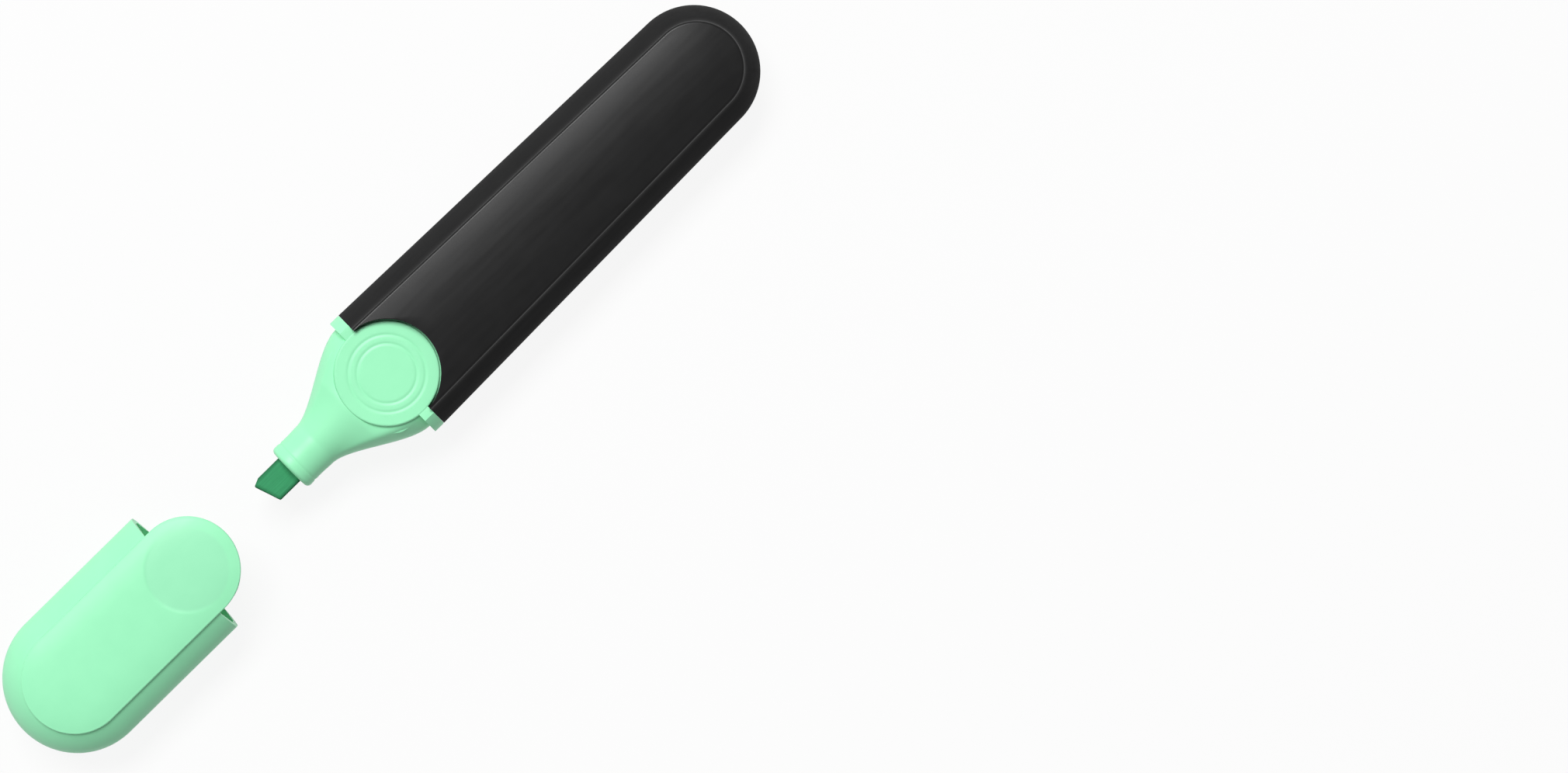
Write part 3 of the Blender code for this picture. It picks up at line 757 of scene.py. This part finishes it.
def nib_mesh():
    """A rounded rectangle carried along the pen, every ring starting from the slanted tip.

    The section is where the p-norm of y over the half width and z over the half height is 1. The first rings
    are drawn in along a quarter circle, and straight lines from the upper to the lower half close the end.
    """
    spin = np.linspace(0, 2 * np.pi, NIB_POINTS, endpoint=False)
    nearness = np.stack([abs(np.cos(spin)) / NIB_HALF_WIDTH, abs(np.sin(spin)) / NIB_HALF_HEIGHT])
    reach = np.sum(nearness ** NIB_SOFTNESS, axis=0) ** (-1 / NIB_SOFTNESS)
    y = reach * np.cos(spin)
    z = reach * np.sin(spin)
    tip = nib_tip(y)
    drawn_in, set_back = round_edge(NIB_ROUND, NIB_TURN)
    end_y = y * (1 - drawn_in / NIB_HALF_WIDTH)
    end_z = z * (1 - drawn_in / NIB_HALF_HEIGHT)
    end = grid_of(tip + set_back, end_y, end_z)
    along = np.linspace(0, 1, NIB_RINGS)[1:, None] ** NIB_CROWDING
    stick = grid_of(tip + NIB_ROUND + along * (NIB_BACK - tip - NIB_ROUND), y, z)
    half = np.arange(NIB_POINTS // 2 + 1)
    above, below = end[0, half], end[0, -half]
    face = above + np.linspace(0, 1, NIB_FACE_ROWS)[:, None, None] * (below - above)
    rings = np.concatenate([end, stick])
    return mesh_of("nib_stick", [(rings, False, True), (face, False, False)], fill_holes=True)


nib_stick = add_piece("nib_stick", nib_mesh(), "pen", "nib")
nib_points = points_of(nib_stick.data)
from_end = nib_points[:, 0] - nib_tip(nib_points[:, 1])
from_edge = np.minimum(NIB_HALF_WIDTH - abs(nib_points[:, 1]), from_end)
# Painted shade: how near each point lies to the nib's sides or slanted end, 1 right at the edge.
store(nib_stick.data, "edge_shade", np.clip(1 - from_edge / EDGE_SHADE_WIDTH, 0, 1))

# %% [markdown]
# ## The seal inside the cap
#
# A marker dries out unless its cap closes round the neck, so the cap holds a second thin cup. It is turned
# from one profile about the pen's axis, with a rounded lip that guides the neck in. A short ring moulded
# inside the cap holds the cup's closed end, and is turned the same way.

# %% Inner seal
TURNED_POINTS = 96
SEAL_BORE = 4.75 * MM
SEAL_WALL = 0.9 * MM
SEAL_FLOOR = 1.0 * MM
LIP_TURN = np.radians(np.linspace(-90, 90, 9))


def turned(name, x, radius, closed_profile):
    """A profile of place along the pen and radius, spun about the pen's axis."""
    spin = np.linspace(0, 2 * np.pi, TURNED_POINTS, endpoint=False)[:, None]
    skin = grid_of(x, radius * np.cos(spin), radius * np.sin(spin))
    return mesh_of(name, [(skin, True, closed_profile)])


seal_low, seal_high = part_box("cap_inner_seal")
lip_x = seal_high.x - SEAL_WALL / 2 * (1 - np.cos(LIP_TURN))
lip_radius = SEAL_BORE + SEAL_WALL / 2 * (1 + np.sin(LIP_TURN))
floor_x = seal_low.x + SEAL_FLOOR
cup_x = np.concatenate([[floor_x, floor_x], lip_x, [seal_low.x, seal_low.x]])
cup_radius = np.concatenate([[0, SEAL_BORE], lip_radius, [SEAL_BORE + SEAL_WALL, 0]])
cup = turned("seal_cup", cup_x, cup_radius, False)
seal_cup = add_piece("seal_cup", cup, "cap", "cap_inner_seal")

# %% Ring that holds the seal
SOCKET_BORE = 5.95 * MM
SOCKET_RADIUS = 6.75 * MM
SOCKET_BACK = 3.9 * MM
SOCKET_FRONT = 9.2 * MM

socket_x = cap_low.x + np.array([SOCKET_BACK, SOCKET_BACK, SOCKET_FRONT, SOCKET_FRONT])
socket_radius = np.array([SOCKET_BORE, SOCKET_RADIUS, SOCKET_RADIUS, SOCKET_BORE])
socket = turned("seal_socket", socket_x, socket_radius, True)
seal_socket = add_piece("seal_socket", socket, "cap", "cap_shell")

# %% [markdown]
# ## Building blocks of a finish
#
# A finish is a small graph of shader nodes. Each one here starts from a noise pattern on Object coordinates,
# so the pattern stays with the piece when it moves, and turns it into colour, gloss or relief. Colours are
# given as linear light, the way the shader counts.

# %% Shader and pattern
PLASTIC_IOR = 1.33


def finish(name, roughness, ior=PLASTIC_IOR):
    """A new material with a Principled shader; returns it with its nodes, its links and that shader."""
    material = bpy.data.materials.new(name)
    material.use_nodes = True
    tree = material.node_tree
    shader = tree.nodes["Principled BSDF"]
    shader.inputs["Roughness"].default_value = roughness
    shader.inputs["IOR"].default_value = ior
    return material, tree.nodes, tree.links, shader


def noise(nodes, links, scale, stretch=(1, 1, 1), detail=3.0):
    """A noise pattern on Object coordinates, stretched along the axes; scale counts blotches per metre."""
    place = nodes.new("ShaderNodeTexCoord")
    mapping = nodes.new("ShaderNodeMapping")
    mapping.inputs["Scale"].default_value = stretch
    pattern = nodes.new("ShaderNodeTexNoise")
    pattern.inputs["Scale"].default_value = scale
    pattern.inputs["Detail"].default_value = detail
    links.new(place.outputs["Object"], mapping.inputs["Vector"])
    links.new(mapping.outputs["Vector"], pattern.inputs["Vector"])
    return pattern.outputs["Fac"]


print("plastics have a refractive index of", PLASTIC_IOR)

# %% Colour
PATTERN_LOW = 0.3
PATTERN_HIGH = 0.7


def ramp(nodes, links, factor, colours):
    """A ramp from the first colour to the second, over the values that a noise pattern mostly takes."""
    node = nodes.new("ShaderNodeValToRGB")
    low, high = node.color_ramp.elements
    low.position = PATTERN_LOW
    high.position = PATTERN_HIGH
    low.color = (*colours[0], 1)
    high.color = (*colours[1], 1)
    links.new(factor, node.inputs["Fac"])
    return node.outputs["Color"]


def tint(nodes, links, colour, attribute, factors):
    """The colour, times three factors where a stored attribute is 1. A piece without it counts as 0."""
    mask = nodes.new("ShaderNodeAttribute")
    mask.attribute_name = attribute
    mix = nodes.new("ShaderNodeMix")
    mix.data_type = "RGBA"
    mix.blend_type = "MULTIPLY"
    mix.inputs["B"].default_value = (*factors, 1)
    links.new(mask.outputs["Fac"], mix.inputs["Factor"])
    links.new(colour, mix.inputs["A"])
    return mix.outputs["Result"]


print("ramps run from", PATTERN_LOW, "to", PATTERN_HIGH)

# %% Gloss and relief
SATIN_ROUGHNESS = 0.52


def roughness_range(nodes, links, factor, low, high):
    """Roughness that wanders between low and high with a pattern."""
    node = nodes.new("ShaderNodeMapRange")
    node.inputs["From Min"].default_value = PATTERN_LOW
    node.inputs["From Max"].default_value = PATTERN_HIGH
    node.inputs["To Min"].default_value = low
    node.inputs["To Max"].default_value = high
    links.new(factor, node.inputs["Value"])
    return node.outputs["Result"]


def add_satin(nodes, links, roughness):
    """Roughness, plus SATIN_ROUGHNESS times how satin a piece stores that it is there."""
    mask = nodes.new("ShaderNodeAttribute")
    mask.attribute_name = "satin"
    node = nodes.new("ShaderNodeMath")
    node.operation = "MULTIPLY_ADD"
    node.inputs[1].default_value = SATIN_ROUGHNESS
    links.new(mask.outputs["Fac"], node.inputs[0])
    links.new(roughness, node.inputs[2])
    return node.outputs["Value"]


def bump(nodes, links, factor, depth, shader):
    """Small relief of a given depth in metres."""
    node = nodes.new("ShaderNodeBump")
    node.inputs["Strength"].default_value = 1.0
    node.inputs["Distance"].default_value = depth
    links.new(factor, node.inputs["Height"])
    links.new(node.outputs["Normal"], shader.inputs["Normal"])


print("satin adds", SATIN_ROUGHNESS, "to the roughness")

# %% [markdown]
# ## Moulded plastic
#
# Moulded plastic is never perfectly even: it has a faint waviness from the mould, its colour is slightly
# mottled, and handling leaves fine scratches along its length. One function makes all three plastics, and
# each mark is a noise pattern of its own scale. The thumb rest is painted a little darker than the rest of
# the cap, as painted shade in its recess.

# %% Plastics
MOTTLE_SCALE = 260
SCRATCH_SCALE = 900
SCRATCH_STRETCH = (0.08, 1, 1)
WAVE_SCALE = 420
WAVE_DETAIL = 1.0
FINE_RELIEF = 2e-6
COARSE_RELIEF = 5e-6
BLACKS = ((0.0108, 0.0108, 0.0110), (0.0128, 0.0128, 0.0130))
BLACK_ROUGHNESS = (0.29, 0.36)
MINTS = ((0.348, 0.925, 0.540), (0.360, 0.945, 0.554))
MINT_ROUGHNESS = (0.32, 0.42)
MILKY_GREENS = ((0.60, 0.66, 0.62), (0.68, 0.73, 0.70))
MILKY_ROUGHNESS = (0.45, 0.55)
# Painted shade: inside the thumb rest the colour is multiplied by this, so the recess looks darker.
REST_SHADE_TINT = (0.99, 0.95, 0.98)


def plastic(name, colours, roughnesses, relief):
    """A moulded plastic: mottled colour, fine lengthwise scratches in the gloss, and a faint waviness."""
    smooth, rough = roughnesses
    material, nodes, links, shader = finish(name, smooth)
    mottle = noise(nodes, links, MOTTLE_SCALE)
    scratches = noise(nodes, links, SCRATCH_SCALE, stretch=SCRATCH_STRETCH)
    waves = noise(nodes, links, WAVE_SCALE, detail=WAVE_DETAIL)
    # Painted shade: the colour is darkened inside the thumb rest.
    colour = tint(nodes, links, ramp(nodes, links, mottle, colours), "thumb_rest", REST_SHADE_TINT)
    links.new(colour, shader.inputs["Base Color"])
    roughness = add_satin(nodes, links, roughness_range(nodes, links, scratches, smooth, rough))
    links.new(roughness, shader.inputs["Roughness"])
    bump(nodes, links, waves, relief, shader)
    return material


black_plastic = plastic("black plastic", BLACKS, BLACK_ROUGHNESS, FINE_RELIEF)
mint_plastic = plastic("mint plastic", MINTS, MINT_ROUGHNESS, FINE_RELIEF)
seal_plastic = plastic("seal plastic", MILKY_GREENS, MILKY_ROUGHNESS, COARSE_RELIEF)
print("plastics:", black_plastic.name, mint_plastic.name, seal_plastic.name)

# %% [markdown]
# ## Fibre and film
#
# The nib and the reservoir are bundles of fibre, so their noise is drawn out along the pen into threads that
# give both the colour and the relief. The nib is darker near its sides and its slanted end: painted shade.
# The film round the reservoir is clear plastic, with soft creases where it was wrapped.

# %% Fibre and film
THREAD_SCALE = 5000
THREAD_STRETCH = (0.05, 1, 1)
THREAD_DETAIL = 4.0
THREAD_RELIEF = 1e-5
# Painted shade: the nib's colour is multiplied by this near its edges.
EDGE_SHADE_TINT = (0.35, 0.42, 0.40)
FELT_GREENS = ((0.038, 0.285, 0.118), (0.050, 0.345, 0.146))
FELT_ROUGHNESS = 0.85
INKED_GREENS = ((0.050, 0.42, 0.20), (0.11, 0.58, 0.30))
INKED_ROUGHNESS = 0.9
FILM_WHITES = ((0.86, 0.9, 0.88), (0.95, 0.97, 0.96))
FILM_ROUGHNESS = 0.12
FILM_IOR = 1.5
FILM_CLEARNESS = 0.85
FILM_CREASE_SCALE = 500
FILM_RELIEF = 2e-5


def fibre(name, colours, roughness):
    """Bundled fibre: bright and dark threads that run along the pen, with a matching relief."""
    material, nodes, links, shader = finish(name, roughness)
    threads = noise(nodes, links, THREAD_SCALE, stretch=THREAD_STRETCH, detail=THREAD_DETAIL)
    # Painted shade: darker near the nib's edges, by the stored nearness to an edge. The reservoir stores
    # none.
    colour = tint(nodes, links, ramp(nodes, links, threads, colours), "edge_shade", EDGE_SHADE_TINT)
    links.new(colour, shader.inputs["Base Color"])
    bump(nodes, links, threads, THREAD_RELIEF, shader)
    return material


def film(name, colours):
    """Clear film: creases that wander in colour, with a matching relief."""
    material, nodes, links, shader = finish(name, FILM_ROUGHNESS, ior=FILM_IOR)
    shader.inputs["Transmission Weight"].default_value = FILM_CLEARNESS
    creases = noise(nodes, links, FILM_CREASE_SCALE)
    links.new(ramp(nodes, links, creases, colours), shader.inputs["Base Color"])
    bump(nodes, links, creases, FILM_RELIEF, shader)
    return material


green_felt = fibre("green felt", FELT_GREENS, FELT_ROUGHNESS)
reservoir_fibre = fibre("reservoir fibre", INKED_GREENS, INKED_ROUGHNESS)
clear_film = film("clear film", FILM_WHITES)
print("fibre and film:", green_felt.name, reservoir_fibre.name, clear_film.name)

# %% [markdown]
# ## Putting the finishes on
#
# A drawn piece gets its finish as its only material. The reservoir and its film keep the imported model's own
# shapes, which are right as they are, so there the finish goes into the slots that their objects have.

# %% Finish of each piece
finish_of = {barrel_shell: black_plastic, cap_moulding: mint_plastic, nose_body: mint_plastic,
             collar_tabs: mint_plastic, thumb_discs: mint_plastic, nib_stick: green_felt,
             seal_cup: seal_plastic, seal_socket: mint_plastic}
for piece, material in finish_of.items():
    piece.data.materials.append(material)
for node, material in {"reservoir_core": reservoir_fibre, "reservoir_film": clear_film}.items():
    for material_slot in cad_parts[node].material_slots:
        material_slot.material = material
print("finished pieces:", sorted(piece.name for piece in finish_of))

# %% [markdown]
# ## Table and light
#
# The table looks plain white to the camera, and to reflections, but still takes a soft shadow, by mixing its
# own white light with a matt surface. One large soft lamp stands behind the pen, a little towards the
# barrel's end, so the shoulders that face it are light and those that face away are dark. An even sky fills
# the shadows.

# %% Table
TABLE_HALF = 1.5
TABLE_COLOUR = (0.78, 0.78, 0.78, 1)
TABLE_ROUGHNESS = 0.9
TABLE_SPECULAR = 0.1

table_mesh = bpy.data.meshes.new("table")
corners = np.array([[-1, -1, 0], [1, -1, 0], [1, 1, 0], [-1, 1, 0]]) * TABLE_HALF
table_mesh.from_pydata(corners, [], [(0, 1, 2, 3)])
table = bpy.data.objects.new("table", table_mesh)
bpy.context.scene.collection.objects.link(table)
table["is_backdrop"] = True

white, white_nodes, white_links, white_shader = finish("white table", TABLE_ROUGHNESS)
white_shader.inputs["Base Color"].default_value = TABLE_COLOUR
white_shader.inputs["Specular IOR Level"].default_value = TABLE_SPECULAR
table_mesh.materials.append(white)
print("table is", 2 * TABLE_HALF, "m wide")

# %% White to the eye
GLOW_SHARE = 0.9


def seeing_rays(nodes, links):
    """1 for rays from the camera, reflections and clear pieces, and 0 for others: the largest of three."""
    rays = nodes.new("ShaderNodeLightPath")
    seen = rays.outputs["Is Camera Ray"]
    for kind in ("Is Glossy Ray", "Is Transmission Ray"):
        larger = nodes.new("ShaderNodeMath")
        larger.operation = "MAXIMUM"
        links.new(seen, larger.inputs[0])
        links.new(rays.outputs[kind], larger.inputs[1])
        seen = larger.outputs["Value"]
    return seen


glow = white_nodes.new("ShaderNodeEmission")
lit = white_nodes.new("ShaderNodeMixShader")
lit.inputs["Fac"].default_value = GLOW_SHARE
white_links.new(white_shader.outputs["BSDF"], lit.inputs[1])
white_links.new(glow.outputs["Emission"], lit.inputs[2])
shown = white_nodes.new("ShaderNodeMixShader")
white_links.new(seeing_rays(white_nodes, white_links), shown.inputs["Fac"])
white_links.new(white_shader.outputs["BSDF"], shown.inputs[1])
white_links.new(lit.outputs["Shader"], shown.inputs[2])
white_links.new(shown.outputs["Shader"], white_nodes["Material Output"].inputs["Surface"])
print("table glows by", GLOW_SHARE, "where it is seen")

# %% Sky and lamp
SKY_COLOUR = (1, 1, 1, 1)
SKY_LEVEL = 0.21
KEY_POWER = 20.0
KEY_PLACE = (0.2, 0.66, 1.24)
KEY_WIDTH = 0.85
KEY_DEPTH = 0.45

sky = bpy.data.worlds.new("sky")
sky.use_nodes = True
sky_inputs = sky.node_tree.nodes["Background"].inputs
sky_inputs["Color"].default_value = SKY_COLOUR
sky_inputs["Strength"].default_value = SKY_LEVEL
bpy.context.scene.world = sky

key_data = bpy.data.lights.new("softbox", "AREA")
key_data.energy = KEY_POWER
key_data.shape = "RECTANGLE"
key_data.size = KEY_WIDTH
key_data.size_y = KEY_DEPTH
key = bpy.data.objects.new("softbox", key_data)
key.location = KEY_PLACE
key.rotation_euler = (-math.atan2(KEY_PLACE[1], KEY_PLACE[2]), 0, 0)
bpy.context.scene.collection.objects.link(key)
print("lamp", KEY_POWER, "W, sky", SKY_LEVEL)

# %% Measure and finish
low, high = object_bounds()
for name, size in {"CAD": cad_high - cad_low, "shown": high - low}.items():
    print(name, [round(length / MM, 1) for length in size], "mm")
